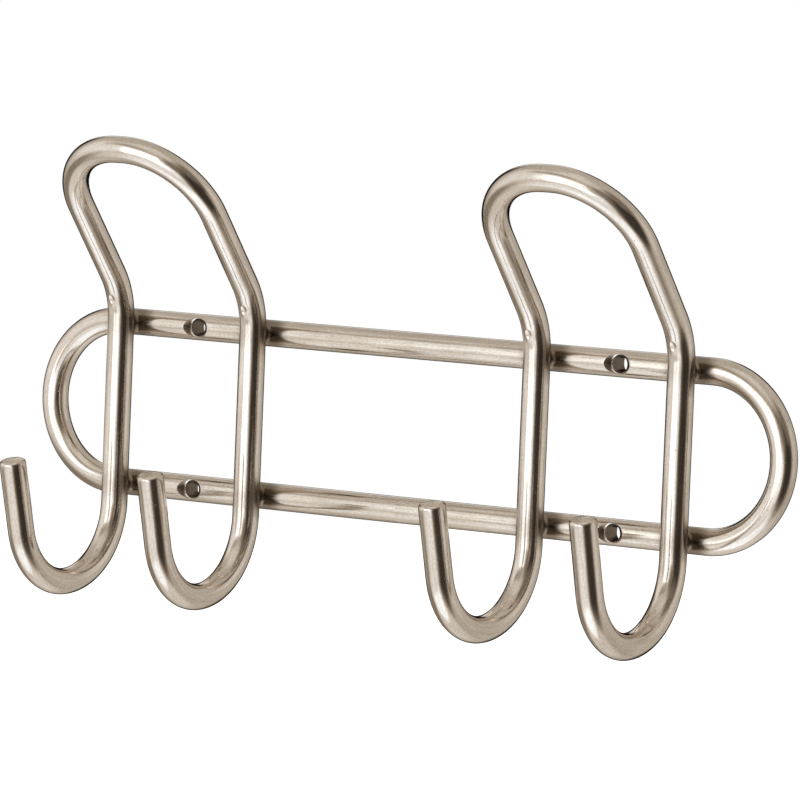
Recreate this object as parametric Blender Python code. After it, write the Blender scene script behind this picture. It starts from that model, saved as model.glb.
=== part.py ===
"""Wall hook rack bent from 8 mm round rod: one back frame, two double-hook wires and their welds.

Frame of the part: metres, +X to the right along the rails, +Z up, -Y out of the wall. The origin is
the middle of the rack on the wall plane, so the back frame rests against y = 0.
"""

from math import cos, pi, radians, sin, tan

import bmesh
import bpy
from mathutils import Matrix, Vector

MM = 0.001

# Rod and clearances
ROD_RADIUS = 4.0 * MM
TOUCHING_GAP = 0.3 * MM

# Back frame: two level rails joined by half-round ends
RAIL_LENGTH = 213.0 * MM
FRAME_BEND_RADIUS = 24.5 * MM
FRAME_Y = -ROD_RADIUS

# Double hooks: each is one wire with a loop on top and two upturned ends
HOOK_OFFSET_X = 75.75 * MM
LEG_SPACING = 49.5 * MM
HOOK_Y = FRAME_Y - 2.0 * ROD_RADIUS - TOUCHING_GAP
LOOP_BEND_RADIUS = 23.5 * MM
LOOP_ARM_LENGTH = 26.5 * MM
KINK_BEND_RADIUS = 22.5 * MM
KINK_ANGLE = radians(39.0)
KINK_START_Z = 25.5 * MM
FOOT_START_Z = -29.5 * MM
FOOT_BACK_RADIUS = 23.5 * MM
FOOT_FRONT_RADIUS = 21.5 * MM
FOOT_SPLAY = radians(1.0)
TIP_LEAN = radians(14.0)
TIP_LENGTH = 22.5 * MM
TIP_ROUNDING = 1.2 * MM

# Countersunk screw holes, one behind the middle of each hook in each rail
SCREW_HOLE_RADIUS = 2.5 * MM
COUNTERSINK_RADIUS = 4.5 * MM
COUNTERSINK_HALF_ANGLE = radians(50.0)

# Round stamp mark on the inside of each kink
STAMP_RADIUS = 1.4 * MM
STAMP_DEPTH = 0.4 * MM

# Resistance welds where the legs cross the rails
WELD_INNER_RADIUS = 2.2 * MM
WELD_OUTER_RADIUS = 3.6 * MM

# Smoothness
ROD_SIDES = 16
BEND_STEP = radians(10.0)
HOLE_SIDES = 20
CUT_MARGIN = 2.0 * MM
MERGE_DISTANCE = 0.00001

SATIN_NICKEL = (0.62, 0.57, 0.50)
WELD_METAL = (0.50, 0.45, 0.39)


class Bender:
    """Draws a round rod the way a bending machine does: feed straight, then bend about a former."""

    def __init__(self, start, heading):
        self.bm = bmesh.new()
        self.position = Vector(start)
        self.heading = Vector(heading).normalized()
        turn = Vector((0.0, 0.0, 1.0)).rotation_difference(self.heading).to_matrix().to_4x4()
        bmesh.ops.create_circle(
            self.bm,
            segments=ROD_SIDES,
            radius=ROD_RADIUS,
            matrix=Matrix.Translation(self.position) @ turn,
        )
        self.ring = list(self.bm.edges)

    def feed(self, length):
        """Pushes the rod straight on."""
        grown = bmesh.ops.extrude_edge_only(self.bm, edges=self.ring)["geom"]
        verts = {item for item in grown if isinstance(item, bmesh.types.BMVert)}
        bmesh.ops.translate(self.bm, verts=list(verts), vec=self.heading * length)
        edges = [item for item in grown if isinstance(item, bmesh.types.BMEdge)]
        self.ring = [edge for edge in edges if verts.issuperset(edge.verts)]
        self.position += self.heading * length

    def bend(self, radius, angle, towards):
        """Bends the rod round a former whose centre lies in the direction towards."""
        towards = Vector(towards).normalized()
        centre = self.position + towards * radius
        axis = self.heading.cross(towards)
        swept = bmesh.ops.spin(
            self.bm,
            geom=self.ring,
            cent=centre,
            axis=axis,
            angle=angle,
            steps=max(2, round(angle / BEND_STEP)),
            use_duplicate=False,
        )
        self.ring = [item for item in swept["geom_last"] if isinstance(item, bmesh.types.BMEdge)]
        turn = Matrix.Rotation(angle, 3, axis)
        self.position = centre + turn @ (self.position - centre)
        self.heading = turn @ self.heading

    def cap(self, edges, rounding):
        """Closes an end and rounds its rim."""
        face = bmesh.ops.contextual_create(self.bm, geom=edges)["faces"][0]
        bmesh.ops.bevel(
            self.bm,
            geom=list(face.edges),
            offset=rounding,
            segments=3,
            profile=0.5,
            affect="EDGES",
            material=-1,
        )

    def finish(self, name, material):
        """Merges the joins, turns the faces outwards and makes the object."""
        bmesh.ops.remove_doubles(self.bm, verts=self.bm.verts, dist=MERGE_DISTANCE)
        bmesh.ops.recalc_face_normals(self.bm, faces=self.bm.faces)
        return make_object(name, self.bm, material)


def make_material(name, color, roughness):
    """Bare metal with the given colour."""
    material = bpy.data.materials.new(name)
    material.use_nodes = True
    shader = material.node_tree.nodes["Principled BSDF"]
    shader.inputs["Base Color"].default_value = (*color, 1.0)
    shader.inputs["Metallic"].default_value = 1.0
    shader.inputs["Roughness"].default_value = roughness
    return material


def make_object(name, bm, material=None):
    """Turns a finished bmesh into a smooth-shaded object of the scene."""
    mesh = bpy.data.meshes.new(name)
    bm.to_mesh(mesh)
    bm.free()
    mesh.shade_smooth()
    mesh.set_sharp_from_angle(angle=radians(35.0))
    if material is not None:
        mesh.materials.append(material)
    item = bpy.data.objects.new(name, mesh)
    bpy.context.scene.collection.objects.link(item)
    return item


def cut(target, cutter):
    """Takes a hidden cutter's volume out of an object."""
    cutter.hide_render = True
    cutter.display_type = "WIRE"
    boolean = target.modifiers.new(cutter.name, "BOOLEAN")
    boolean.operation = "DIFFERENCE"
    boolean.solver = "EXACT"
    boolean.object = cutter


def turned_solid(bm, profile, centre):
    """Spins a profile of (radius, y) points about the Y axis line through centre."""
    points = [bm.verts.new(Vector((radius, y, 0.0)) + centre) for radius, y in profile]
    edges = [bm.edges.new(pair) for pair in zip(points, points[1:])]
    bmesh.ops.spin(
        bm,
        geom=points + edges,
        cent=centre,
        axis=(0.0, 1.0, 0.0),
        angle=2.0 * pi,
        steps=HOLE_SIDES,
        use_merge=True,
        use_duplicate=False,
    )


def closed_cutter(name, bm):
    """Finishes a cutter: joins its poles and turns it the right way out."""
    bmesh.ops.remove_doubles(bm, verts=bm.verts, dist=MERGE_DISTANCE)
    bmesh.ops.recalc_face_normals(bm, faces=bm.faces)
    return make_object(name, bm)


def rail_crossings():
    """Where the legs cross the rails, by name: the point on both centre lines' common normal."""
    for side, x_sign in (("left", -1.0), ("right", 1.0)):
        for leg, leg_sign in (("left", -1.0), ("right", 1.0)):
            for rail, z_sign in (("upper", 1.0), ("lower", -1.0)):
                x = x_sign * HOOK_OFFSET_X + leg_sign * 0.5 * LEG_SPACING
                yield f"weld_{side}_hook_{leg}_leg_{rail}", x, z_sign * FRAME_BEND_RADIUS


def build_back_frame(material):
    """The closed loop of rod that screws to the wall, with its four countersunk holes."""
    start = (-0.5 * RAIL_LENGTH, FRAME_Y, FRAME_BEND_RADIUS)
    rod = Bender(start, (1.0, 0.0, 0.0))
    rod.feed(RAIL_LENGTH)
    rod.bend(FRAME_BEND_RADIUS, pi, (0.0, 0.0, -1.0))
    rod.feed(RAIL_LENGTH)
    rod.bend(FRAME_BEND_RADIUS, pi, (0.0, 0.0, 1.0))
    frame = rod.finish("back_frame", material)
    cut(frame, build_screw_hole_cutter())
    return frame


def build_screw_hole_cutter():
    """Four countersink tools, pointing into the rails from the front."""
    front = FRAME_Y - ROD_RADIUS
    depth = (COUNTERSINK_RADIUS - SCREW_HOLE_RADIUS) / tan(COUNTERSINK_HALF_ANGLE)
    profile = (
        (0.0, front - CUT_MARGIN),
        (COUNTERSINK_RADIUS, front - CUT_MARGIN),
        (COUNTERSINK_RADIUS, front),
        (SCREW_HOLE_RADIUS, front + depth),
        (SCREW_HOLE_RADIUS, CUT_MARGIN),
        (0.0, CUT_MARGIN),
    )
    bm = bmesh.new()
    for x_sign in (-1.0, 1.0):
        for z_sign in (-1.0, 1.0):
            centre = Vector((x_sign * HOOK_OFFSET_X, 0.0, z_sign * FRAME_BEND_RADIUS))
            turned_solid(bm, profile, centre)
    return closed_cutter("screw_hole_cutter", bm)


def build_hook(name, x_centre, material):
    """One double hook: half the wire is bent from the loop's top down, then mirrored."""
    loop_flat = LEG_SPACING - 2.0 * LOOP_BEND_RADIUS
    kink_rise = KINK_BEND_RADIUS * sin(KINK_ANGLE)
    kink_reach = KINK_BEND_RADIUS * (1.0 - cos(KINK_ANGLE))
    loop_length = LOOP_ARM_LENGTH + LOOP_BEND_RADIUS
    loop_top = (
        x_centre,
        HOOK_Y - kink_reach - loop_length * sin(KINK_ANGLE),
        KINK_START_Z + kink_rise + loop_length * cos(KINK_ANGLE),
    )
    down_the_loop = (0.0, sin(KINK_ANGLE), -cos(KINK_ANGLE))
    kink_inside = (0.0, -cos(KINK_ANGLE), -sin(KINK_ANGLE))
    out_of_wall = (sin(FOOT_SPLAY), -cos(FOOT_SPLAY), 0.0)

    rod = Bender(loop_top, (1.0, 0.0, 0.0))
    rod.feed(0.5 * loop_flat)
    rod.bend(LOOP_BEND_RADIUS, 0.5 * pi, down_the_loop)
    rod.feed(LOOP_ARM_LENGTH)
    rod.bend(KINK_BEND_RADIUS, KINK_ANGLE, kink_inside)
    rod.feed(KINK_START_Z - FOOT_START_Z)
    rod.bend(FOOT_BACK_RADIUS, 0.5 * pi, out_of_wall)
    rod.bend(FOOT_FRONT_RADIUS, 0.5 * pi - TIP_LEAN, (0.0, 0.0, 1.0))
    rod.feed(TIP_LENGTH)
    rod.cap(rod.ring, TIP_ROUNDING)
    bmesh.ops.mirror(
        rod.bm,
        geom=rod.bm.verts[:] + rod.bm.edges[:] + rod.bm.faces[:],
        matrix=Matrix.Translation((-x_centre, 0.0, 0.0)),
        merge_dist=MERGE_DISTANCE,
        axis="X",
    )
    hook = rod.finish(name, material)
    cut(hook, build_stamp_cutter(f"{name}_stamp_cutter", x_centre))
    return hook


def build_stamp_cutter(name, x_centre):
    """Two balls that press a round mark into the inside of the kinks, half-way round the bend."""
    ball_radius = (STAMP_RADIUS**2 + STAMP_DEPTH**2) / (2.0 * STAMP_DEPTH)
    reach = KINK_BEND_RADIUS - ROD_RADIUS - ball_radius + STAMP_DEPTH
    half = 0.5 * KINK_ANGLE
    y = HOOK_Y - KINK_BEND_RADIUS + reach * cos(half)
    z = KINK_START_Z + reach * sin(half)
    bm = bmesh.new()
    for leg_sign in (-1.0, 1.0):
        centre = Matrix.Translation((x_centre + leg_sign * 0.5 * LEG_SPACING, y, z))
        bmesh.ops.create_icosphere(bm, subdivisions=3, radius=ball_radius, matrix=centre)
    return closed_cutter(name, bm)


def build_rod_clearance(name, x, z, radius, along):
    """A fat stretch of rod that clears a weld from the real rod."""
    turn = Vector((0.0, 0.0, 1.0)).rotation_difference(along).to_matrix().to_4x4()
    bm = bmesh.new()
    bmesh.ops.create_cone(
        bm,
        cap_ends=True,
        segments=2 * ROD_SIDES,
        radius1=radius,
        radius2=radius,
        depth=4.0 * WELD_OUTER_RADIUS,
        matrix=Matrix.Translation((x, FRAME_Y if along.x else HOOK_Y, z)) @ turn,
    )
    return closed_cutter(name, bm)


def build_weld(name, x, z, material):
    """The ring of upset metal squeezed out between a leg and a rail."""
    middle = 0.5 * (FRAME_Y + HOOK_Y)
    half_depth = 0.5 * ROD_RADIUS
    profile = (
        (WELD_INNER_RADIUS, middle - half_depth),
        (WELD_OUTER_RADIUS, middle - half_depth),
        (WELD_OUTER_RADIUS, middle + half_depth),
        (WELD_INNER_RADIUS, middle + half_depth),
        (WELD_INNER_RADIUS, middle - half_depth),
    )
    bm = bmesh.new()
    turned_solid(bm, profile, Vector((x, 0.0, z)))
    bmesh.ops.remove_doubles(bm, verts=bm.verts, dist=MERGE_DISTANCE)
    bmesh.ops.recalc_face_normals(bm, faces=bm.faces)
    weld = make_object(name, bm, material)
    radius = ROD_RADIUS + TOUCHING_GAP
    cut(weld, build_rod_clearance(f"{name}_rail_cutter", x, z, radius, Vector((1.0, 0.0, 0.0))))
    cut(weld, build_rod_clearance(f"{name}_leg_cutter", x, z, radius, Vector((0.0, 0.0, 1.0))))
    return weld


def main():
    """Clears the scene and builds the rack."""
    for item in list(bpy.data.objects):
        bpy.data.objects.remove(item, do_unlink=True)
    build_back_frame(make_material("back_frame", SATIN_NICKEL, 0.30))
    build_hook("left_hook_wire", -HOOK_OFFSET_X, make_material("left_hook_wire", SATIN_NICKEL, 0.28))
    build_hook("right_hook_wire", HOOK_OFFSET_X, make_material("right_hook_wire", SATIN_NICKEL, 0.28))
    for name, x, z in rail_crossings():
        build_weld(name, x, z, make_material(name, WELD_METAL, 0.40))


main()
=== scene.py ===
"""Wall hook rack of bent satin-nickel rod, dressed for a studio picture.

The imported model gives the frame: every size and place that it holds is read from it. The rods are
made the way the workshop makes them: a length of straight stock is cut and its ends are rounded, its
surface is marked out, and only then is it bent round its formers. So the brushing follows the rod
through every bend. Metres, +X along the rails, +Z up, -Y out of the wall.
"""

import logging
from collections.abc import Callable, Iterator, Sequence
from dataclasses import dataclass
from enum import Enum
from functools import cache
from math import ceil, cos, degrees, pi, radians, sin, sqrt, tan

import bmesh
import bpy
from mathutils import Matrix, Vector


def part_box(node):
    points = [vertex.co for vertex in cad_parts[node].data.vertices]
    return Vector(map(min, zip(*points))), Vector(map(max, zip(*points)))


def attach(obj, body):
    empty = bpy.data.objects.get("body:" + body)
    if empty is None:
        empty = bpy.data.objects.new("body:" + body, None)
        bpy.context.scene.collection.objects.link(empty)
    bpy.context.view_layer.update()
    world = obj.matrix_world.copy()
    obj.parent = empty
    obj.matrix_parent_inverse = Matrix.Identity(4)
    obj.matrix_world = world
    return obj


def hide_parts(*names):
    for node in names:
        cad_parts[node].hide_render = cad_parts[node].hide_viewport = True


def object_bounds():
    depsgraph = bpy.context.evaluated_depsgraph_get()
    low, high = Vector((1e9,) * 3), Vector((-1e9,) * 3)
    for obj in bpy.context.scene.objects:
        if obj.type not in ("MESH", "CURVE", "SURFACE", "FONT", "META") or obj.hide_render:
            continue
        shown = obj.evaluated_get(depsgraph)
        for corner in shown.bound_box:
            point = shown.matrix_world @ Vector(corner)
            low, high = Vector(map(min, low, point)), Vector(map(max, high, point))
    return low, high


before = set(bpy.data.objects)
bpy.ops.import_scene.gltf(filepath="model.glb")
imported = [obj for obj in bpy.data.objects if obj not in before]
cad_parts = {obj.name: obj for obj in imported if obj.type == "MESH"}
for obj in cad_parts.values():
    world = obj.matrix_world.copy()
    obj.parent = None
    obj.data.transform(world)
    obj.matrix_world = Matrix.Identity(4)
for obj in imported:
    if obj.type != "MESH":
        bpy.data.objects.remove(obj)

CAD_BOX = [list(corner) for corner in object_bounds()]
BODY = "root"
MM = 0.001
ROD_SPACE = "rod_space"
CORNER_SHADE = "corner"
MERGE_DISTANCE = 0.00001
RIM_MERGE = 0.00015
RIM_ANGLE = radians(30.0)
SHARP_ANGLE = radians(40.0)

Colour = tuple[float, float, float]
Socket = bpy.types.NodeSocket
log = logging.getLogger("hook_rack")


@cache
def node_box(node: str) -> tuple[Vector, Vector]:
    """Lowest and highest corners of a CAD node, measured once."""
    low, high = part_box(node)
    return Vector(low), Vector(high)


class Side(Enum):
    """Left or right, as seen from the front, with the sign of its X."""

    LEFT = -1.0
    RIGHT = 1.0

    @property
    def label(self) -> str:
        """The word used in node names."""
        return self.name.lower()


class Rail(Enum):
    """The upper or the lower rail of the back frame, with the sign of its Z."""

    UPPER = 1.0
    LOWER = -1.0

    @property
    def label(self) -> str:
        """The word used in node names."""
        return self.name.lower()


class Noise(Enum):
    """Noise on the straight rod: cycles per metre across it and along it, and number of octaves."""

    BRUSHING = (1900.0, 60.0, 4.0)
    FINE_BRUSHING = (6500.0, 420.0, 3.0)
    CLOUDS = (260.0, 60.0, 3.0)
    WAVINESS = (300.0, 120.0, 2.0)
    GRAIN = (3000.0, 1100.0, 2.0)
    SPECKLE = (1700.0, 1300.0, 1.0)


def grow_ring(
    bm: bmesh.types.BMesh, ring: Sequence[bmesh.types.BMEdge]
) -> tuple[list[bmesh.types.BMVert], list[bmesh.types.BMEdge]]:
    """Extrudes a closed ring of edges, and leaves the new ring where the old one is.

    Args:
        bm: The shape that grows.
        ring: Edges of its open ring.

    Returns:
        Points and edges of the new ring.
    """
    grown = bmesh.ops.extrude_edge_only(bm, edges=ring)["geom"]
    verts = [item for item in grown if isinstance(item, bmesh.types.BMVert)]
    edges = [item for item in grown if isinstance(item, bmesh.types.BMEdge)]
    known = set(verts)
    return verts, [edge for edge in edges if known.issuperset(edge.verts)]


@dataclass(frozen=True)
class Feed:
    """A straight push of the rod through the bending machine."""

    length: float

    def carry(self, pose: Matrix, run: float) -> Matrix:
        """The pose at a distance along the step, whose first pose has Z along the rod."""
        return pose @ Matrix.Translation((0.0, 0.0, run))


@dataclass(frozen=True)
class Bend:
    """A bend round a former, whose centre lies square to the rod in the direction towards."""

    radius: float
    angle: float
    towards: tuple[float, float, float]

    @property
    def length(self) -> float:
        """Length of rod that the bend takes up."""
        return self.radius * self.angle

    def carry(self, pose: Matrix, run: float) -> Matrix:
        """Swings a pose round the former.

        Args:
            pose: Pose of the rod where this step starts; its Z axis is the rod's direction.
            run: Distance along the step.

        Returns:
            The pose at that distance.
        """
        towards = Vector(self.towards).normalized()
        centre = pose.translation + towards * self.radius
        heading = pose.col[2].to_3d()
        swing = Matrix.Rotation(run / self.radius, 4, heading.cross(towards))
        return Matrix.Translation(centre) @ swing @ Matrix.Translation(-centre) @ pose


class BendingPlan:
    """Takes each point of a straight rod to its place on the bent one."""

    def __init__(self, start: Vector, heading: Vector, side: Vector, steps: Sequence[Feed | Bend]) -> None:
        """Works out the pose of the rod at the start of every step.

        Args:
            start: Middle of the rod where its run is zero.
            heading: Direction of the rod there.
            side: Direction, square to the heading, that the rod's own X axis takes there.
            steps: Feeds and bends in order.
        """
        axes = Matrix((side, heading.cross(side), heading)).transposed().to_4x4()
        self.poses = [Matrix.Translation(start) @ axes]
        self.runs = [0.0]
        self.steps = list(steps)
        for step in self.steps:
            self.poses.append(step.carry(self.poses[-1], step.length))
            self.runs.append(self.runs[-1] + step.length)

    @property
    def length(self) -> float:
        """Whole length of rod in the plan."""
        return self.runs[-1]

    def place(self, point: Vector) -> Vector:
        """Bends one point.

        Args:
            point: X and Y across the straight rod, and Z along it.

        Returns:
            The point's place on the bent rod.
        """
        index = 0
        while index < len(self.steps) - 1 and point.z > self.runs[index + 1]:
            index += 1
        pose = self.steps[index].carry(self.poses[index], point.z - self.runs[index])
        return pose @ Vector((point.x, point.y, 0.0))

    def stations(self, straight_step: float, bend_step: float) -> list[float]:
        """Distances along the rod that get a ring of points.

        Args:
            straight_step: Longest gap between rings on a straight.
            bend_step: Largest angle between rings in a bend.

        Returns:
            The distances, from zero to the rod's length.
        """
        marks = [0.0]
        for step, run in zip(self.steps, self.runs):
            if isinstance(step, Bend):
                count = ceil(step.angle / bend_step)
            else:
                count = ceil(step.length / straight_step)
            marks += [run + step.length * part / count for part in range(1, count + 1)]
        return marks

    def refine(
        self, marks: Sequence[float], places: Sequence[Vector], reach: float, parts: int
    ) -> list[float]:
        """Splits the gaps between rings near some places, where a tool will cut the rod.

        Args:
            marks: Distances along the rod that get a ring.
            places: Middles of the places.
            reach: Distance from a place within which gaps are split.
            parts: Number of parts that such a gap is split into.

        Returns:
            The distances, with the new ones among them.
        """
        finer = [marks[0]]
        for start, end in zip(marks, marks[1:]):
            middle = self.place(Vector((0.0, 0.0, 0.5 * (start + end))))
            near = any((middle - place).length < reach for place in places)
            count = parts if near else 1
            finer += [start + (end - start) * part / count for part in range(1, count + 1)]
        return finer


@dataclass(frozen=True)
class RodStock:
    """Straight round rod, drawn ring by ring along +Z."""

    radius: float
    sides: int = 48
    straight_step: float = 3.0 * MM
    bend_step: float = radians(2.5)
    end_face_normal: float = 0.85

    def draw(self, rings: Sequence[tuple[float, float]], capped: bool) -> bmesh.types.BMesh:
        """Draws the stock and marks its surface out with each point's place on the straight rod.

        The faces of the cut ends take the second material.

        Args:
            rings: Distance along the rod and radius of every ring.
            capped: Whether the two ends are closed.

        Returns:
            The straight rod, ready to be bent.
        """
        bm = bmesh.new()
        run, radius = rings[0]
        lift = Matrix.Translation((0.0, 0.0, run))
        bmesh.ops.create_circle(bm, segments=self.sides, radius=radius, matrix=lift)
        first = list(bm.edges)
        ring = first
        for next_run, next_radius in rings[1:]:
            verts, ring = grow_ring(bm, ring)
            bmesh.ops.scale(bm, verts=verts, vec=(next_radius / radius, next_radius / radius, 1.0))
            bmesh.ops.translate(bm, verts=verts, vec=(0.0, 0.0, next_run - run))
            run, radius = next_run, next_radius
        if capped:
            bmesh.ops.contextual_create(bm, geom=first)
            bmesh.ops.contextual_create(bm, geom=ring)
        bm.normal_update()
        layer = bm.loops.layers.float_vector.new(ROD_SPACE)
        for face in bm.faces:
            face.material_index = int(abs(face.normal.z) > self.end_face_normal)
            for loop in face.loops:
                loop[layer] = loop.vert.co
        return bm

    def end_rings(self, rounding: float, crown: float) -> list[tuple[float, float]]:
        """Rings of a dressed end, from its middle outwards, with the end's highest point at zero.

        Args:
            rounding: Radius of the rounded rim.
            crown: How far the middle of the end stands above its rim.

        Returns:
            Distance below the end and radius of each ring.
        """
        flat = self.radius - rounding
        face_steps = 5
        rim_steps = 8
        rings = []
        for part in range(1, face_steps + 1):
            share = part / face_steps
            rings.append((crown * share**2, flat * share))
        for part in range(1, rim_steps + 1):
            turn = 0.5 * pi * part / rim_steps
            rings.append((crown + rounding * (1.0 - cos(turn)), flat + rounding * sin(turn)))
        return rings


class Workshop:
    """Turns bmeshes into finished pieces of the rack."""

    @staticmethod
    def bend(bm: bmesh.types.BMesh, place: Callable[[Vector], Vector]) -> None:
        """Moves every point of straight stock to its place on the bent rod."""
        for vert in bm.verts:
            vert.co = place(vert.co)

    @staticmethod
    def heal(bm: bmesh.types.BMesh) -> None:
        """Merges doubles and turns the faces outwards."""
        bmesh.ops.remove_doubles(bm, verts=bm.verts, dist=MERGE_DISTANCE)
        bmesh.ops.recalc_face_normals(bm, faces=bm.faces)

    @staticmethod
    def mark_corners(bm: bmesh.types.BMesh, near: float = 5.5 * MM, far: float = 10.0 * MM) -> None:
        """Marks how near each point lies to a weld, as the weight of the painted shade in the welded corners.

        Args:
            bm: The bent rod.
            near: Distance from a weld within which a point is wholly in the corner.
            far: Distance past which it is out of it.
        """
        centres = [weld_centre(*place) for place in weld_places()]
        # Painted shade: a weight from 0 to 1 that darkens the rod's colour near the welds.
        layer = bm.verts.layers.float.new(CORNER_SHADE)
        for vert in bm.verts:
            reach = min((vert.co - centre).length for centre in centres)
            share = min(max((far - reach) / (far - near), 0.0), 1.0)
            vert[layer] = share * share * (3.0 - 2.0 * share)

    @staticmethod
    def to_object(name: str, bm: bmesh.types.BMesh, *materials: bpy.types.Material) -> bpy.types.Object:
        """Makes a smooth-shaded object at the origin.

        Args:
            name: Name of the object and its mesh.
            bm: The finished shape, which is freed.
            materials: Materials in slot order.

        Returns:
            The new object, linked to the scene.
        """
        mesh = bpy.data.meshes.new(name)
        bm.to_mesh(mesh)
        bm.free()
        for material in materials:
            mesh.materials.append(material)
        mesh.shade_smooth()
        mesh.set_sharp_from_angle(angle=SHARP_ANGLE)
        piece = bpy.data.objects.new(name, mesh)
        bpy.context.scene.collection.objects.link(piece)
        return piece

    @staticmethod
    def turn(
        bm: bmesh.types.BMesh, profile: Sequence[tuple[float, float]], centre: Vector, steps: int
    ) -> None:
        """Turns a profile about a line along Y, as a lathe does.

        Args:
            bm: Receives the turned shape.
            profile: Radius and Y of each point of the profile.
            centre: A point on the line that the profile turns about.
            steps: Number of sides of the turned shape.
        """
        points = [bm.verts.new(Vector((radius, y, 0.0)) + centre) for radius, y in profile]
        edges = [bm.edges.new(pair) for pair in zip(points, points[1:])]
        bmesh.ops.spin(
            bm,
            geom=points + edges,
            cent=centre,
            axis=(0.0, 1.0, 0.0),
            angle=2.0 * pi,
            steps=steps,
            use_merge=True,
            use_duplicate=False,
        )

    @staticmethod
    def cut(piece: bpy.types.Object, tool: bmesh.types.BMesh, *materials: bpy.types.Material) -> None:
        """Cuts a tool's shape out of a piece for good, and throws the tool away.

        Args:
            piece: The object that is cut.
            tool: Closed shape of the tool.
            materials: Materials of the tool, which the cut faces keep.
        """
        Workshop.heal(tool)
        cutter = Workshop.to_object(f"{piece.name}_tool", tool, *materials)
        boolean = piece.modifiers.new("cut", "BOOLEAN")
        boolean.operation = "DIFFERENCE"
        boolean.solver = "EXACT"
        boolean.material_mode = "TRANSFER"
        boolean.object = cutter
        evaluated = piece.evaluated_get(bpy.context.evaluated_depsgraph_get())
        finished = bpy.data.meshes.new_from_object(evaluated)
        spare = piece.data
        piece.modifiers.clear()
        piece.data = finished
        finished.name = piece.name
        bpy.data.meshes.remove(spare)
        spare_tool = cutter.data
        bpy.data.objects.remove(cutter)
        bpy.data.meshes.remove(spare_tool)

    @staticmethod
    def ease_rims(piece: bpy.types.Object, width: float) -> None:
        """Rounds the sharp rims that a tool left, and shades the piece smooth again.

        Args:
            piece: The object whose rims are eased.
            width: Width of the rounding.
        """
        bm = bmesh.new()
        bm.from_mesh(piece.data)
        rims = [edge for edge in bm.edges if edge.is_manifold and edge.calc_face_angle() > RIM_ANGLE]
        verts = list({vert for edge in rims for vert in edge.verts})
        bmesh.ops.remove_doubles(bm, verts=verts, dist=RIM_MERGE)
        rims = [edge for edge in bm.edges if edge.is_manifold and edge.calc_face_angle() > RIM_ANGLE]
        bmesh.ops.bevel(
            bm,
            geom=rims,
            offset=width,
            segments=2,
            profile=0.5,
            affect="EDGES",
            clamp_overlap=True,
            material=-1,
        )
        bm.to_mesh(piece.data)
        bm.free()
        piece.data.shade_smooth()
        piece.data.set_sharp_from_angle(angle=SHARP_ANGLE)

    @staticmethod
    def hand_over(piece: bpy.types.Object, node: str, slot: str) -> None:
        """Puts a finished piece in place of its CAD node and reports it.

        Args:
            piece: The finished piece.
            node: Name of the CAD node that it stands for.
            slot: Not used.
        """
        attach(piece, BODY)
        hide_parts(node)
        faces = len(piece.data.polygons)
        size = ", ".join(f"{side / MM:.1f}" for side in piece.dimensions)
        log.info("%s: %d faces, %s mm", piece.name, faces, size)


class NodeGraph:
    """A thin helper that writes a node graph from left to right."""

    def __init__(self, tree: bpy.types.NodeTree) -> None:
        """Starts to write a graph in a node tree."""
        self.tree = tree

    def add(self, kind: str, settings: dict | None = None, **inputs: object) -> bpy.types.Node:
        """Adds a node.

        Args:
            kind: Type of the node, without the ShaderNode prefix.
            settings: Properties of the node.
            inputs: Values or output sockets for its inputs, with spaces in their names as underscores.

        Returns:
            The new node.
        """
        node = self.tree.nodes.new(f"ShaderNode{kind}")
        for key, value in (settings or {}).items():
            setattr(node, key, value)
        for key, value in inputs.items():
            self.feed(node.inputs[key.replace("_", " ")], value)
        return node

    def feed(self, socket: Socket, value: object) -> None:
        """Links an output socket to an input, or sets a plain value on it."""
        if isinstance(value, Socket):
            self.tree.links.new(value, socket)
        else:
            socket.default_value = value

    def math(self, operation: str, *values: object) -> Socket:
        """Works out a number.

        Args:
            operation: Name of the Math node's operation.
            values: Numbers or sockets that it works on.

        Returns:
            The result.
        """
        node = self.add("Math", {"operation": operation})
        for socket, value in zip(node.inputs, values):
            self.feed(socket, value)
        return node.outputs[0]

    def scale_range(self, value: Socket, low: float, high: float,
                    start: float = 0.3, end: float = 0.7, smooth: bool = False) -> Socket:
        """Maps a value onto another range.

        Args:
            value: The value to map.
            low: Result at and below the start.
            high: Result at and above the end.
            start: Lowest value that is told apart.
            end: Highest value that is told apart.
            smooth: Whether the result eases in and out.

        Returns:
            The mapped value.
        """
        settings = {"interpolation_type": "SMOOTHSTEP" if smooth else "LINEAR"}
        limits = {"From_Min": start, "From_Max": end, "To_Min": low, "To_Max": high}
        return self.add("MapRange", settings, Value=value, **limits).outputs["Result"]

    def blend_colours(self, share: Socket, first: Sequence[float],
                      second: Sequence[float] | Socket) -> Socket:
        """Mixes two colours.

        Args:
            share: Share of the second colour.
            first: Colour where the share is 0, or a colour socket.
            second: Colour where the share is 1, or a colour socket.

        Returns:
            The mixed colour.
        """
        node = self.add("Mix", {"data_type": "RGBA"})
        self.feed(node.inputs[0], share)
        for socket, colour in ((node.inputs[6], first), (node.inputs[7], second)):
            self.feed(socket, colour if isinstance(colour, Socket) else (*colour, 1.0))
        return node.outputs[2]


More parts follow.
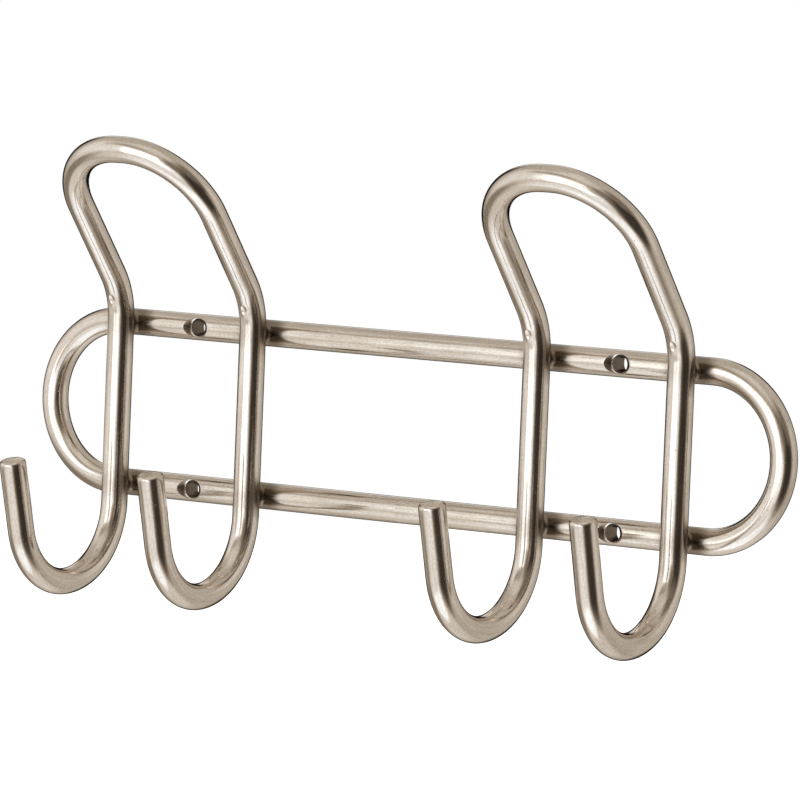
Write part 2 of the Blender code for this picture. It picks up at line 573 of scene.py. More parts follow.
class MaterialGraph(NodeGraph):
    """The graph of a material with one Principled shader."""

    def __init__(self, name: str) -> None:
        """Starts a material.

        Args:
            name: Name of the material.
        """
        self.material = bpy.data.materials.new(name)
        self.material.use_nodes = True
        super().__init__(self.material.node_tree)
        self.shader = self.tree.nodes["Principled BSDF"]

    def set(self, **inputs: object) -> None:
        """Feeds the shader's inputs, with spaces in their names as underscores."""
        for key, value in inputs.items():
            self.feed(self.shader.inputs[key.replace("_", " ")], value)

    def noise(self, place: Socket, scale: float, detail: float) -> Socket:
        """Noise from 0 to 1 at a place, with a number of octaves."""
        return self.add("TexNoise", Vector=place, Scale=scale, Detail=detail).outputs["Fac"]

    def rod_noise(self, noise: Noise, offset: float) -> Socket:
        """Noise laid out on the straight rod, so that it follows every bend.

        Args:
            noise: How the noise is stretched.
            offset: Shift along the rod, in metres, which tells two uses of one noise apart.

        Returns:
            The noise's value, from 0 to 1.
        """
        across, along, detail = noise.value
        place = self.add("Attribute", {"attribute_name": ROD_SPACE}).outputs["Vector"]
        spread = self.add(
            "Mapping",
            Vector=place,
            Location=(0.0, 0.0, offset * along),
            Scale=(across, across, along),
        )
        return self.noise(spread.outputs["Vector"], 1.0, detail)

    def bump(self, height: Socket, distance: float,
             under: Socket | None = None) -> Socket:
        """Turns a height into a normal.

        Args:
            height: Height from 0 to 1.
            distance: Height that 1 stands for, in metres.
            under: Normal that this bump is added to.

        Returns:
            The bumped normal.
        """
        node = self.add("Bump", Height=height, Distance=distance, Strength=1.0)
        if under is not None:
            self.feed(node.inputs["Normal"], under)
        return node.outputs["Normal"]


@dataclass(frozen=True)
class SatinNickel:
    """Nickel plate over rod that was brushed lengthwise: warm grey, half way between satin and gloss."""

    light: Colour = (0.94, 0.862, 0.775)
    dark: Colour = (0.48, 0.40, 0.32)
    pit: Colour = (0.30, 0.25, 0.19)
    roughness: tuple[float, float] = (0.10, 0.20)
    # Painted shade near the welds: the dark colour the rod is mixed towards there, and how far.
    corner: Colour = (0.17, 0.125, 0.085)
    corner_share: float = 0.8
    corner_roughness: float = 0.1
    tone_shares: tuple[float, float, float, float] = (0.28, 0.26, 0.16, 0.30)
    pit_range: tuple[float, float] = (0.77, 0.80)
    brushing_height: float = 0.0035 * MM
    fine_brushing_height: float = 0.001 * MM
    grain_height: float = 0.0008 * MM
    waviness_height: float = 0.014 * MM
    pit_depth: float = 0.03 * MM

    def make(self, name: str, offset: float) -> bpy.types.Material:
        """Writes the finish as a material.

        Args:
            name: Name of the material.
            offset: Shift of the pattern along the rod, so that no two rods look the same.

        Returns:
            The material.
        """
        graph = MaterialGraph(name)
        clouds = graph.rod_noise(Noise.CLOUDS, offset)
        brushing = graph.rod_noise(Noise.BRUSHING, offset)
        fine = graph.rod_noise(Noise.FINE_BRUSHING, offset)
        waviness = graph.rod_noise(Noise.WAVINESS, offset)
        speckle = graph.rod_noise(Noise.SPECKLE, offset)
        grain = graph.rod_noise(Noise.GRAIN, offset)
        pits = graph.scale_range(speckle, 0.0, 1.0, *self.pit_range)
        tone = 0.0
        for pattern, share in zip((clouds, brushing, fine, grain), self.tone_shares):
            tone = graph.math("ADD", tone, graph.scale_range(pattern, 0.0, share))
        metal = graph.blend_colours(tone, self.dark, self.light)
        # Painted shade: the metal's colour is darkened towards the welds.
        corner = graph.add("Attribute", {"attribute_name": CORNER_SHADE}).outputs["Fac"]
        metal = graph.blend_colours(graph.math("MULTIPLY", corner, self.corner_share), metal, self.corner)
        low, high = self.roughness
        dulling = graph.math("MULTIPLY", corner, self.corner_roughness)
        rough = graph.math("ADD", graph.scale_range(brushing, low, high), dulling)
        heights = (
            (waviness, self.waviness_height),
            (brushing, self.brushing_height),
            (fine, self.fine_brushing_height),
            (grain, self.grain_height),
            (graph.scale_range(pits, 1.0, 0.0, 0.0, 1.0), self.pit_depth),
        )
        normal = None
        for height, distance in heights:
            normal = graph.bump(height, distance, normal)
        graph.set(
            Base_Color=graph.blend_colours(pits, metal, self.pit),
            Metallic=1.0,
            Roughness=rough,
            Normal=normal,
        )
        return graph.material


@dataclass(frozen=True)
class BoredNickel:
    """Plated wall of a drilled and countersunk hole, with the rings that the drill left.

    The cone is coloured darker than the rod and the bore darker still, as painted shade in the hole;
    the rounded lip between them, where screw heads bear, carries a painted highlight ring.
    """

    # Painted shade in the cone and in the bore, and a painted highlight on the lip.
    cone: Colour = (0.34, 0.27, 0.21)
    lip: Colour = (0.92, 0.86, 0.78)
    deep: Colour = (0.16, 0.12, 0.09)
    lip_start: float = 1.25 * MM
    lip_end: float = 1.95 * MM
    change: float = 0.2 * MM
    grime: Colour = (0.16, 0.12, 0.09)
    grime_share: float = 0.5
    grime_scale: float = 900.0
    grime_range: tuple[float, float] = (0.4, 0.65)
    roughness: tuple[float, float] = (0.14, 0.28)
    ring_pitch: float = 0.34 * MM
    ring_height: float = 0.0025 * MM

    def make(self, name: str, front: float) -> bpy.types.Material:
        """Writes the finish as a material.

        Args:
            name: Name of the material.
            front: Y of the rod's front, from which the hole's depth is counted.

        Returns:
            The material.
        """
        graph = MaterialGraph(name)
        place = graph.add("TexCoord").outputs["Object"]
        depth = graph.add("SeparateXYZ", Vector=place).outputs["Y"]
        rings = graph.math("SINE", graph.math("MULTIPLY", depth, 2.0 * pi / self.ring_pitch))
        grime = graph.noise(place, self.grime_scale, 3.0)
        low, high = self.roughness
        lip_start = front + self.lip_start
        lip_end = front + self.lip_end
        dirt = graph.scale_range(grime, 0.0, self.grime_share, *self.grime_range)
        metal = graph.blend_colours(dirt, self.cone, self.grime)
        # Painted highlight ring on the lip, then painted shade deep in the bore, chosen by depth.
        lip_highlight_mask = graph.scale_range(depth, 0.0, 1.0, lip_start, lip_start + self.change)
        bore_shade_mask = graph.scale_range(depth, 0.0, 1.0, lip_end, lip_end + self.change)
        metal = graph.blend_colours(lip_highlight_mask, metal, self.lip)
        graph.set(
            Base_Color=graph.blend_colours(bore_shade_mask, metal, self.deep),
            Metallic=1.0,
            Roughness=graph.scale_range(grime, low, high),
            Normal=graph.bump(graph.scale_range(rings, 0.0, 1.0, -1.0, 1.0), self.ring_height),
        )
        return graph.material


@dataclass(frozen=True)
class CutNickel:
    """Plated face of a sawn and belt-dressed end: duller than the rod, with straight cutting marks."""

    light: Colour = (0.84, 0.76, 0.65)
    dark: Colour = (0.56, 0.47, 0.37)
    roughness: tuple[float, float] = (0.22, 0.40)
    mark_height: float = 0.006 * MM
    across: float = 2600.0
    along: float = 250.0

    def make(self, name: str) -> bpy.types.Material:
        """Writes the finish as a material.

        Args:
            name: Name of the material.

        Returns:
            The material.
        """
        graph = MaterialGraph(name)
        place = graph.add("Attribute", {"attribute_name": ROD_SPACE}).outputs["Vector"]
        spread = graph.add("Mapping", Vector=place, Scale=(self.across, self.along, self.along))
        marks = graph.noise(spread.outputs["Vector"], 1.0, 3.0)
        low, high = self.roughness
        graph.set(
            Base_Color=graph.blend_colours(graph.scale_range(marks, 0.0, 1.0), self.light, self.dark),
            Metallic=1.0,
            Roughness=graph.scale_range(marks, low, high),
            Normal=graph.bump(marks, self.mark_height),
        )
        return graph.material


@dataclass(frozen=True)
class WeldNickel:
    """Plated weld metal: the same nickel over a rippled, slightly burnt surface."""

    light: Colour = (0.40, 0.33, 0.26)
    dark: Colour = (0.17, 0.13, 0.09)
    roughness: tuple[float, float] = (0.24, 0.42)
    ripple_height: float = 0.05 * MM
    ripple_scale: float = 700.0
    burn_scale: float = 260.0

    def make(self, name: str) -> bpy.types.Material:
        """Writes the finish as a material.

        Args:
            name: Name of the material.

        Returns:
            The material.
        """
        graph = MaterialGraph(name)
        place = graph.add("TexCoord").outputs["Object"]
        ripple = graph.noise(place, self.ripple_scale, 3.0)
        burn = graph.noise(place, self.burn_scale, 2.0)
        low, high = self.roughness
        graph.set(
            Base_Color=graph.blend_colours(graph.scale_range(burn, 0.0, 1.0), self.light, self.dark),
            Metallic=1.0,
            Roughness=graph.scale_range(ripple, low, high),
            Normal=graph.bump(ripple, self.ripple_height),
        )
        return graph.material


@dataclass(frozen=True)
class BackFrame:
    """The racetrack loop of rod that screws to the wall."""

    node: str = "back_frame"
    rod_sides: int = 80
    straight_step: float = 1.5 * MM
    hole_radius: float = 2.5 * MM
    countersink_radius: float = 4.5 * MM
    countersink_half_angle: float = radians(50.0)
    lip_radius: float = 0.8 * MM
    lip_steps: int = 6
    hole_sides: int = 96
    fine_reach: float = 8.0 * MM
    fine_parts: int = 4
    tool_reach: float = 2.0 * MM
    rim_easing: float = 0.15 * MM

    @property
    def low(self) -> Vector:
        """Lowest corner of the frame's box."""
        return node_box(self.node)[0]

    @property
    def high(self) -> Vector:
        """Highest corner of the frame's box."""
        return node_box(self.node)[1]

    @property
    def rod_radius(self) -> float:
        """Radius of the rod: half of how deep the flat loop is."""
        return 0.5 * (self.high.y - self.low.y)

    @property
    def rod_y(self) -> float:
        """Y of the rod's middle."""
        return 0.5 * (self.high.y + self.low.y)

    @property
    def bend_radius(self) -> float:
        """Radius of the round ends, which is also the height of the rails above the middle."""
        return 0.5 * (self.high.z - self.low.z) - self.rod_radius

    @property
    def rail_length(self) -> float:
        """Length of a rail between the round ends."""
        return self.high.x - self.low.x - 2.0 * (self.bend_radius + self.rod_radius)

    def bending_plan(self) -> BendingPlan:
        """The loop's feeds and bends, from the middle of the lower rail and back to it."""
        half = Feed(0.5 * self.rail_length)
        steps = (
            half,
            Bend(self.bend_radius, pi, (0.0, 0.0, 1.0)),
            Feed(self.rail_length),
            Bend(self.bend_radius, pi, (0.0, 0.0, -1.0)),
            half,
        )
        start = Vector((0.0, self.rod_y, -self.bend_radius))
        return BendingPlan(start, Vector((1.0, 0.0, 0.0)), Vector((0.0, 0.0, 1.0)), steps)

    def hole_centres(self) -> Iterator[Vector]:
        """A point on the axis of each screw hole: one in each rail behind the middle of each hook."""
        for side in Side:
            low, high = node_box(f"{side.label}_hook_wire")
            for rail in Rail:
                yield Vector((0.5 * (low[0] + high[0]), 0.0, rail.value * self.bend_radius))

    def countersink_tool(self) -> bmesh.types.BMesh:
        """The drill and countersink, set into all four places at once."""
        front = self.low.y
        slope = self.countersink_half_angle
        cone_end = self.hole_radius + self.lip_radius * (1.0 - cos(slope))
        cone_depth = (self.countersink_radius - cone_end) / tan(slope)
        lip_depth = cone_depth + self.lip_radius * sin(slope)
        profile = [
            (0.0, front - self.tool_reach),
            (self.countersink_radius, front - self.tool_reach),
            (self.countersink_radius, front),
        ]
        for part in range(self.lip_steps, -1, -1):
            turn = slope * part / self.lip_steps
            radius = self.hole_radius + self.lip_radius * (1.0 - cos(turn))
            profile.append((radius, front + lip_depth - self.lip_radius * sin(turn)))
        profile.append((self.hole_radius, self.high.y + self.tool_reach))
        profile.append((0.0, self.high.y + self.tool_reach))
        tool = bmesh.new()
        for centre in self.hole_centres():
            Workshop.turn(tool, profile, centre, self.hole_sides)
        return tool

    def build(self) -> None:
        """Draws, bends, joins and drills the loop, and hands it over."""
        stock = RodStock(self.rod_radius, sides=self.rod_sides, straight_step=self.straight_step)
        plan = self.bending_plan()
        marks = plan.stations(stock.straight_step, stock.bend_step)
        marks = plan.refine(marks, list(self.hole_centres()), self.fine_reach, self.fine_parts)
        rings = [(run, stock.radius) for run in marks]
        bm = stock.draw(rings, capped=False)
        Workshop.bend(bm, plan.place)
        Workshop.heal(bm)
        Workshop.mark_corners(bm)
        bore = BoredNickel().make("bored_nickel", self.low.y)
        loop = Workshop.to_object("fine_back_frame", bm, SatinNickel().make("satin_nickel_frame", 0.0))
        Workshop.cut(loop, self.countersink_tool(), bore)
        Workshop.ease_rims(loop, self.rim_easing)
        Workshop.hand_over(loop, self.node, "satin_nickel")


@dataclass(frozen=True)
class DoubleHook:
    """One wire bent into an upper loop and two lower hooks."""

    side: Side
    rod_radius: float
    rod_sides: int = 72
    shoulder_gap: float = 0.1 * MM
    kink_step: int = 3
    loop_bend_radius: float = 23.5 * MM
    loop_arm: float = 26.5 * MM
    kink_bend_radius: float = 22.5 * MM
    kink_angle: float = radians(39.0)
    foot_start_z: float = -29.5 * MM
    foot_back_radius: float = 23.5 * MM
    foot_front_radius: float = 21.5 * MM
    foot_splay: float = radians(1.0)
    tip_lean: float = radians(14.0)
    tip_length: float = 22.5 * MM
    tip_rounding: float = 1.2 * MM
    tip_crown: float = 0.25 * MM
    stamp_radius: float = 1.45 * MM
    stamp_depth: float = 0.35 * MM
    stamp_easing: float = 0.12 * MM
    ball_detail: int = 4
    fine_reach: float = 3.0 * MM
    fine_parts: int = 3
    nick_offset: tuple[float, float] = (0.5 * MM, 0.9 * MM)
    nick_radius: float = 0.55 * MM
    nick_depth: float = 0.2 * MM
    sight_distance: float = 1.0

    @property
    def node(self) -> str:
        """Name of the CAD node that this wire stands for."""
        return f"{self.side.label}_hook_wire"

    @property
    def x_centre(self) -> float:
        """X of the wire's own middle plane."""
        low, high = node_box(self.node)
        return 0.5 * (low[0] + high[0])

    @property
    def leg_spacing(self) -> float:
        """Distance between the middles of the two legs, which the welds sit behind."""
        return 2.0 * abs(weld_centre(self.side, Side.RIGHT, Rail.UPPER).x - self.x_centre)

    @property
    def leg_y(self) -> float:
        """Y of the middle of the legs, whose backs are the wire's rearmost points."""
        return node_box(self.node)[1][1] - self.rod_radius

    @property
    def loop_length(self) -> float:
        """Length of the slanted plane of the loop, from the kink to the top of the rod's middle."""
        return self.loop_arm + self.loop_bend_radius

    @property
    def kink_start_z(self) -> float:
        """Height where the legs begin to lean out of the wall."""
        rise = self.kink_bend_radius * sin(self.kink_angle) + self.loop_length * cos(self.kink_angle)
        return node_box(self.node)[1][2] - self.rod_radius - rise

    def bending_plan(self) -> BendingPlan:
        """Feeds and bends of the right half, from the middle of the loop down to the tip."""
        slope = self.kink_angle
        reach = self.kink_bend_radius * (1.0 - cos(slope)) + self.loop_length * sin(slope)
        top = Vector((self.x_centre, self.leg_y - reach, node_box(self.node)[1][2] - self.rod_radius))
        down_the_loop = (0.0, sin(slope), -cos(slope))
        steps = (
            Feed(0.5 * self.leg_spacing - self.loop_bend_radius),
            Bend(self.loop_bend_radius, 0.5 * pi, down_the_loop),
            Feed(self.loop_arm),
            Bend(self.kink_bend_radius, slope, (0.0, -cos(slope), -sin(slope))),
            Feed(self.kink_start_z - self.foot_start_z),
            Bend(self.foot_back_radius, 0.5 * pi, (sin(self.foot_splay), -cos(self.foot_splay), 0.0)),
            Bend(self.foot_front_radius, 0.5 * pi - self.tip_lean, (0.0, 0.0, 1.0)),
            Feed(self.tip_length),
        )
        return BendingPlan(top, Vector((1.0, 0.0, 0.0)), Vector(down_the_loop), steps)

    def place(self, plan: BendingPlan, point: Vector) -> Vector:
        """Bends a point of the whole wire, whose left half mirrors the right one.

        Args:
            plan: The plan of the right half.
            point: A point of the straight wire, with its middle at zero.

        Returns:
            The point's place.
        """
        if point.z >= 0.0:
            return plan.place(point)
        bent = plan.place(Vector((point.x, point.y, -point.z)))
        return Vector((2.0 * self.x_centre - bent.x, bent.y, bent.z))

    def stock_rings(self, stock: RodStock, plan: BendingPlan) -> list[tuple[float, float]]:
        """Rings of the whole straight wire with both its ends dressed.

        Args:
            stock: The rod that the wire is cut from.
            plan: The plan of one half.

        Returns:
            Distance from the wire's middle and radius of each ring, end to end.
        """
        end = [(plan.length - depth, radius) for depth, radius in
               stock.end_rings(self.tip_rounding, self.tip_crown)]
        shoulder = end[-1][0]
        marks = plan.stations(stock.straight_step, stock.bend_step)
        kink_run = plan.runs[self.kink_step] + 0.5 * plan.steps[self.kink_step].length
        kink = plan.place(Vector((0.0, 0.0, kink_run)))
        marks = plan.refine(marks, [kink], self.fine_reach, self.fine_parts)
        body = [(run, stock.radius) for run in marks if run < shoulder - self.shoulder_gap]
        half = body + end[::-1]
        return [(-run, radius) for run, radius in half[:0:-1]] + half

    def press(self, tool: bmesh.types.BMesh, mark: float, depth: float, surface: Vector, out: Vector) -> None:
        """Adds the ball that presses one round mark.

        Args:
            tool: Receives the ball.
            mark: Radius of the mark.
            depth: Depth of the mark.
            surface: The point of the rod's surface at the middle of the mark.
            out: Direction out of the rod there.
        """
        ball = (mark**2 + depth**2) / (2.0 * depth)
        centre = Matrix.Translation(surface + out * (ball - depth))
        bmesh.ops.create_icosphere(tool, subdivisions=self.ball_detail, radius=ball, matrix=centre)

    def marking_tool(self, plan: BendingPlan) -> bmesh.types.BMesh:
        """Balls that press a mark into the inside of each kink and leave a nick in each cut end.

        Args:
            plan: The plan of one half of the wire.

        Returns:
            The balls, in one shape.
        """
        half = 0.5 * self.kink_angle
        out = Vector((0.0, -cos(half), -sin(half)))
        x = 0.5 * self.leg_spacing
        former = Vector((self.x_centre, self.leg_y - self.kink_bend_radius, self.kink_start_z))
        inside = former - out * (self.kink_bend_radius - self.rod_radius)
        tool = bmesh.new()
        for leg in Side:
            surface = inside + Vector((leg.value * x, 0.0, 0.0))
            self.press(tool, self.stamp_radius, self.stamp_depth, surface, out)
            end = self.place(plan, Vector((*self.nick_offset, leg.value * plan.length)))
            sight = leg.value * (plan.length + self.sight_distance)
            beyond = self.place(plan, Vector((*self.nick_offset, sight)))
            self.press(tool, self.nick_radius, self.nick_depth, end, (beyond - end).normalized())
        return tool

    def build(self) -> None:
        """Draws, bends and stamps the wire, and hands it over."""
        stock = RodStock(self.rod_radius, sides=self.rod_sides)
        plan = self.bending_plan()
        bm = stock.draw(self.stock_rings(stock, plan), capped=True)
        Workshop.bend(bm, lambda point: self.place(plan, point))
        Workshop.heal(bm)
        Workshop.mark_corners(bm)
        finish = SatinNickel().make(f"satin_nickel_{self.side.label}", 2.0 + self.side.value)
        cut_end = CutNickel().make(f"cut_nickel_{self.side.label}")
        wire = Workshop.to_object(f"fine_{self.side.label}_hook_wire", bm, finish, cut_end)
        Workshop.cut(wire, self.marking_tool(plan), finish)
        Workshop.ease_rims(wire, self.stamp_easing)
        Workshop.hand_over(wire, self.node, "satin_nickel")


def weld_places() -> Iterator[tuple[Side, Side, Rail]]:
    """Hook, leg and rail of every weld."""
    for hook in Side:
        for leg in Side:
            for rail in Rail:
                yield hook, leg, rail


def weld_name(hook: Side, leg: Side, rail: Rail) -> str:
    """Name of the CAD node of one weld."""
    return f"weld_{hook.label}_hook_{leg.label}_leg_{rail.label}"


def weld_centre(hook: Side, leg: Side, rail: Rail) -> Vector:
    """Middle of one weld's box."""
    low, high = node_box(weld_name(hook, leg, rail))
    return 0.5 * (low + high)


@dataclass(frozen=True)
class Weld:
    """The waist of fused metal between a leg and a rail, squeezed out by the welding electrodes."""

    hook: Side
    leg: Side
    rail: Rail
    rod_radius: float
    rail_y: float
    leg_y: float
    sides: int = 48
    layers: int = 8
    waist: float = 0.55 * MM
    bury: float = 0.12 * MM
    lump: float = 0.12 * MM
    small_lump: float = 0.5
    lump_counts: tuple[float, float] = (3.0, 7.0)
    small_lump_turn: float = 2.3
    phase_steps: tuple[float, float, float] = (1.7, 0.9, 0.4)

    @property
    def node(self) -> str:
        """Name of the CAD node that this weld stands for."""
        return weld_name(self.hook, self.leg, self.rail)

    @property
    def foot_radius(self) -> float:
        """Radius where the fused metal runs out on the rods."""
        low, high = node_box(self.node)
        return 0.5 * (high[0] - low[0])

    def shape(self, angle: float, share: float, phase: float) -> Vector:
        """A point of the waist.

        Args:
            angle: Angle round the weld's axis, from +X towards +Z.
            share: 0 on the rail, 1 on the leg.
            phase: Turns the lumps, so that no two welds look the same.

        Returns:
            The point, in the part's frame.
        """
        few, many = self.lump_counts
        small = self.small_lump * sin(many * angle + self.small_lump_turn * phase)
        lumps = self.lump * (sin(few * angle + phase) + small)
        radius = self.foot_radius + lumps - self.waist * sin(pi * share)
        centre = weld_centre(self.hook, self.leg, self.rail)
        x = radius * cos(angle)
        z = radius * sin(angle)
        on_rail = self.rail_y - sqrt(self.rod_radius**2 - z**2) + self.bury
        on_leg = self.leg_y + sqrt(self.rod_radius**2 - x**2) - self.bury
        return Vector((centre.x + x, on_rail + (on_leg - on_rail) * share, centre.z + z))

    def build(self, finish: bpy.types.Material) -> None:
        """Raises the waist from a circle, layer by layer, closes it and hands it over.

        Args:
            finish: The weld's material.
        """
        bm = bmesh.new()
        bmesh.ops.create_circle(bm, segments=self.sides, radius=self.foot_radius)
        ring = list(bm.edges)
        foot = ring
        for _ in range(self.layers):
            verts, ring = grow_ring(bm, ring)
            bmesh.ops.translate(bm, verts=verts, vec=(0.0, 0.0, 1.0))
        bmesh.ops.contextual_create(bm, geom=foot)
        bmesh.ops.contextual_create(bm, geom=ring)
        signs = (self.hook.value, self.leg.value, self.rail.value)
        phase = sum(step * sign for step, sign in zip(self.phase_steps, signs))
        for vert in bm.verts:
            angle = Vector((vert.co.x, vert.co.y)).angle_signed(Vector((1.0, 0.0)))
            vert.co = self.shape(angle, vert.co.z / self.layers, phase)
        Workshop.heal(bm)
        weld = Workshop.to_object(f"fine_{self.node}", bm, finish)
        Workshop.hand_over(weld, self.node, "plated_weld")


@dataclass(frozen=True)
class LightZone:
    """A soft patch of the studio round the rack, brighter or darker than what is behind it.

    Angles are in degrees. The azimuth is counted from the camera's own, positive to the right of
    someone who stands at the camera and faces the rack. The elevation is counted from the horizon.
    """

    azimuth: float
    elevation: float
    half_width: float
    half_height: float
    softness: float
    level: float


class Zone(Enum):
    """The patches of the studio, in the order in which they cover one another."""

    GROUND = LightZone(0.0, -90.0, 360.0, 38.0, 0.6, 0.55)
    CEILING = LightZone(-25.0, 70.0, 52.0, 24.0, 1.0, 0.52)
    BEHIND = LightZone(180.0, 1.0, 40.0, 36.0, 0.35, 0.0)
    BACK_LIGHT = LightZone(-176.0, 27.0, 13.0, 8.0, 0.8, 0.62)
    LEFT_WALL = LightZone(-84.0, 16.0, 36.0, 32.0, 0.9, 0.66)
    RIGHT_WALL = LightZone(82.0, 4.0, 22.0, 22.0, 0.6, 0.48)
    LEFT_GAP = LightZone(-128.0, -34.0, 38.0, 16.0, 0.8, 0.18)
    TABLE = LightZone(-36.0, -63.0, 58.0, 25.0, 0.8, 1.0)
    TABLE_EDGE = LightZone(-46.0, -33.0, 38.0, 11.0, 0.9, 0.70)
    BLACK_FLAG = LightZone(33.0, -7.0, 34.0, 43.0, 0.8, 0.03)
    FLAG_TOP = LightZone(46.0, 34.0, 20.0, 19.0, 0.9, 0.13)
    SOFTBOX_FRAME = LightZone(-60.0, 41.0, 28.0, 8.0, 0.9, 0.28)
    SOFTBOX_SIDE = LightZone(2.0, 20.0, 12.0, 14.0, 0.7, 0.14)
    SOFTBOX_SPILL = LightZone(-22.0, -13.0, 17.0, 14.0, 0.6, 0.84)


@dataclass(frozen=True)
class Studio:
    """White paper floor, a soft studio round the rack, one large softbox, and the camera."""

    floor_drop: float = 0.35
    floor_radius: float = 4.0
    floor_sides: int = 96
    paper_dark: Colour = (0.88, 0.88, 0.88)
    paper_light: Colour = (0.92, 0.92, 0.92)
    paper_scale: float = 40.0
    paper_roughness: float = 0.9
    paper_glow: float = 0.75
    camera_azimuth: float = radians(34.63)
    camera_elevation: float = radians(4.28)
    camera_roll: float = radians(2.34)
    camera_distance: float = 1.8683
    camera_target: tuple[float, float, float] = (-0.0023, -0.004, 0.00805)
    lens: float = 284.14
    sensor: float = 36.0
    room_level: float = 0.36
    room_strength: float = 1.75
    zone_squareness: float = 4.0
    white: Colour = (0.80, 0.875, 0.96)
    warmth: tuple[tuple[float, Colour], ...] = (
        (0.16, (0.16, 0.138, 0.114)),
        (0.37, (0.343, 0.323, 0.293)),
        (0.60, (0.53, 0.522, 0.512)),
    )
    softbox_azimuth: float = radians(-43.0)
    softbox_elevation: float = radians(7.0)
    softbox_distance: float = 3.0
    softbox_half_width: float = radians(23.0)
    softbox_half_height: float = radians(21.0)
    softbox_radiance: float = 1.0
    softbox_colour: Colour = (1.03, 1.12, 1.22)

    def lay_floor(self) -> None:
        """Lays a round of white paper under the rack."""
        bm = bmesh.new()
        drop = Matrix.Translation((0.0, 0.0, CAD_BOX[0][2] - self.floor_drop))
        bmesh.ops.create_circle(
            bm, cap_ends=True, segments=self.floor_sides, radius=self.floor_radius, matrix=drop
        )
        graph = MaterialGraph("white_paper")
        place = graph.add("TexCoord").outputs["Object"]
        grain = graph.noise(place, self.paper_scale, 2.0)
        graph.set(
            Base_Color=graph.blend_colours(grain, self.paper_dark, self.paper_light),
            Roughness=self.paper_roughness,
            Emission_Color=(1.0, 1.0, 1.0, 1.0),
            Emission_Strength=self.paper_glow,
        )
        floor = Workshop.to_object("floor", bm, graph.material)
        floor.visible_glossy = False

    def heading(self, azimuth: float, elevation: float) -> Vector:
        """Unit direction at an azimuth from straight out of the wall towards +X, and an elevation."""
        return Vector((sin(azimuth) * cos(elevation), -cos(azimuth) * cos(elevation), sin(elevation)))

    def stand(self, data: bpy.types.ID, back: Vector, distance: float, roll: float) -> bpy.types.Object:
        """Stands a camera or a light so that it looks at the target.

        Args:
            data: The camera's or light's data.
            back: Direction from the target to it.
            distance: Distance from the target.
            roll: Turn about its own axis.

        Returns:
            The new object.
        """
        right = Vector((0.0, 0.0, 1.0)).cross(back).normalized()
        axes = Matrix((right, back.cross(right), back)).transposed() @ Matrix.Rotation(roll, 3, "Z")
        thing = bpy.data.objects.new(data.name, data)
        place = Vector(self.camera_target) + back * distance
        thing.matrix_world = Matrix.Translation(place) @ axes.to_4x4()
        bpy.context.scene.collection.objects.link(thing)
        return thing

    def place_camera(self) -> None:
        """Sets the camera up in front of the rack and to its right, a little above it."""
        data = bpy.data.cameras.new("camera")
        data.lens = self.lens
        data.sensor_width = self.sensor
        back = self.heading(self.camera_azimuth, self.camera_elevation)
        bpy.context.scene.camera = self.stand(data, back, self.camera_distance, self.camera_roll)

    def hang_softbox(self) -> None:
        """Hangs the large softbox to the left of the camera."""
        data = bpy.data.lights.new("softbox", "AREA")
        data.shape = "RECTANGLE"
        data.size = 2.0 * self.softbox_distance * tan(self.softbox_half_width)
        data.size_y = 2.0 * self.softbox_distance * tan(self.softbox_half_height)
        data.energy = self.softbox_radiance * pi * data.size * data.size_y
        data.color = self.softbox_colour
        back = self.heading(self.camera_azimuth + self.softbox_azimuth, self.softbox_elevation)
        softbox = self.stand(data, back, self.softbox_distance, 0.0)
        softbox.visible_camera = False

    def paint_zone(self, graph: NodeGraph, zone: LightZone, azimuth: Socket,
                   elevation: Socket, level: object) -> Socket:
        """Lays one zone over the level of the studio behind it.

        Args:
            graph: The world's graph.
            zone: The zone.
            azimuth: Azimuth of the direction looked in, in degrees.
            elevation: Elevation of the direction looked in, in degrees.
            level: Level behind the zone.

        Returns:
            The new level.
        """
        aside = graph.math("WRAP", graph.math("SUBTRACT", azimuth, zone.azimuth), 180.0, -180.0)
        across = graph.math("DIVIDE", aside, zone.half_width)
        along = graph.math("DIVIDE", graph.math("SUBTRACT", elevation, zone.elevation), zone.half_height)
        powers = [graph.math("POWER", part, self.zone_squareness) for part in (across, along)]
        reach = graph.math("SQRT", graph.math("ADD", *powers))
        share = graph.scale_range(reach, 1.0, 0.0, 1.0 - zone.softness, 1.0 + zone.softness, smooth=True)
        mix = graph.add("Mix", {"data_type": "FLOAT"})
        graph.feed(mix.inputs[0], share)
        graph.feed(mix.inputs[2], level)
        graph.feed(mix.inputs[3], zone.level)
        return mix.outputs[0]

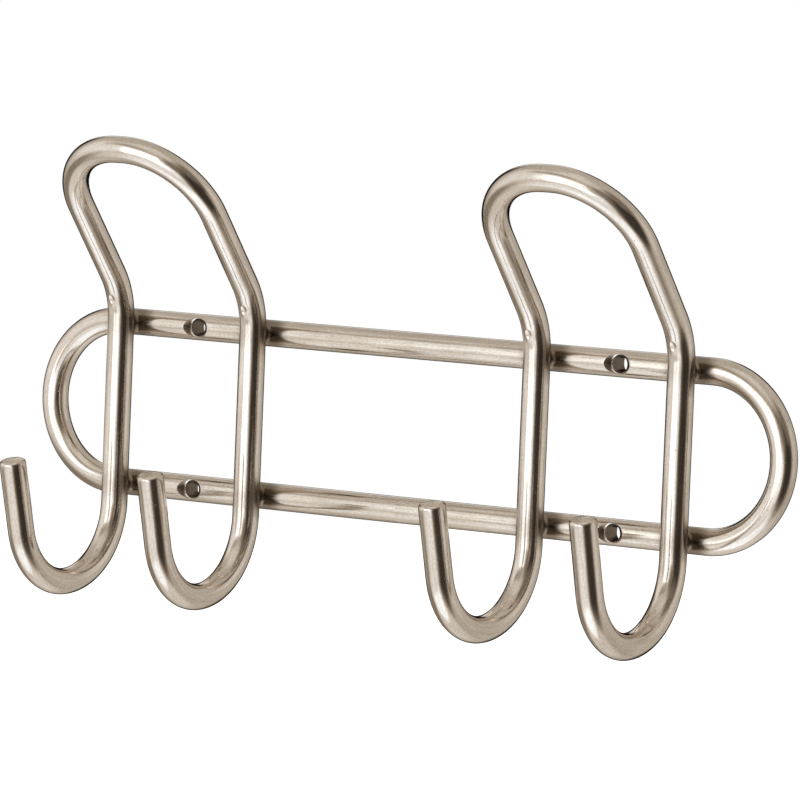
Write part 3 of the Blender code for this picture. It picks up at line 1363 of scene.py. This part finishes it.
    def light_room(self) -> None:
        """Paints the studio as the metal sees it, and a plain white backdrop behind the rack."""
        world = bpy.data.worlds.new("studio")
        bpy.context.scene.world = world
        world.use_nodes = True
        graph = NodeGraph(world.node_tree)
        axes = graph.add("SeparateXYZ", Vector=graph.add("TexCoord").outputs["Generated"])
        out = graph.math("MULTIPLY", axes.outputs["Y"], -1.0)
        turn = graph.math("DEGREES", graph.math("ARCTAN2", axes.outputs["X"], out))
        azimuth = graph.math("SUBTRACT", turn, degrees(self.camera_azimuth))
        elevation = graph.math("DEGREES", graph.math("ARCSINE", axes.outputs["Z"]))
        level = self.room_level
        for zone in Zone:
            level = self.paint_zone(graph, zone.value, azimuth, elevation, level)
        warmth = graph.add("ValToRGB", Fac=level)
        ramp = warmth.color_ramp.elements
        ramp[0].color = (0.0, 0.0, 0.0, 1.0)
        ramp[1].color = (*self.white, 1.0)
        for position, colour in self.warmth:
            ramp.new(position).color = (*colour, 1.0)
        room = graph.add("Background", Color=warmth.outputs["Color"], Strength=self.room_strength)
        backdrop = graph.add("Background", Color=(1.0, 1.0, 1.0, 1.0), Strength=1.0)
        seen = graph.add("LightPath").outputs["Is Camera Ray"]
        choose = graph.add("MixShader")
        graph.feed(choose.inputs[0], seen)
        graph.feed(choose.inputs[1], room.outputs[0])
        graph.feed(choose.inputs[2], backdrop.outputs[0])
        graph.feed(world.node_tree.nodes["World Output"].inputs["Surface"], choose.outputs[0])
        bpy.context.scene.view_settings.view_transform = "Standard"


def build_welds(back: BackFrame, hooks: Sequence[DoubleHook]) -> None:
    """Builds the eight welds.

    Args:
        back: The frame that the hooks are welded to.
        hooks: The hooks.
    """
    finish = WeldNickel().make("weld_nickel")
    for hook, leg, rail in weld_places():
        weld = Weld(hook, leg, rail, back.rod_radius, back.rod_y, hooks[0].leg_y)
        weld.build(finish)


def main() -> None:
    """Builds the rack, piece by piece, then the studio."""
    logging.basicConfig(level=logging.INFO, format="%(name)s: %(message)s")
    back = BackFrame()
    back.build()
    hooks = [DoubleHook(side, back.rod_radius) for side in Side]
    for hook in hooks:
        hook.build()
    build_welds(back, hooks)
    studio = Studio()
    studio.lay_floor()
    studio.place_camera()
    studio.hang_softbox()
    studio.light_room()


if __name__ == "__main__":
    main()
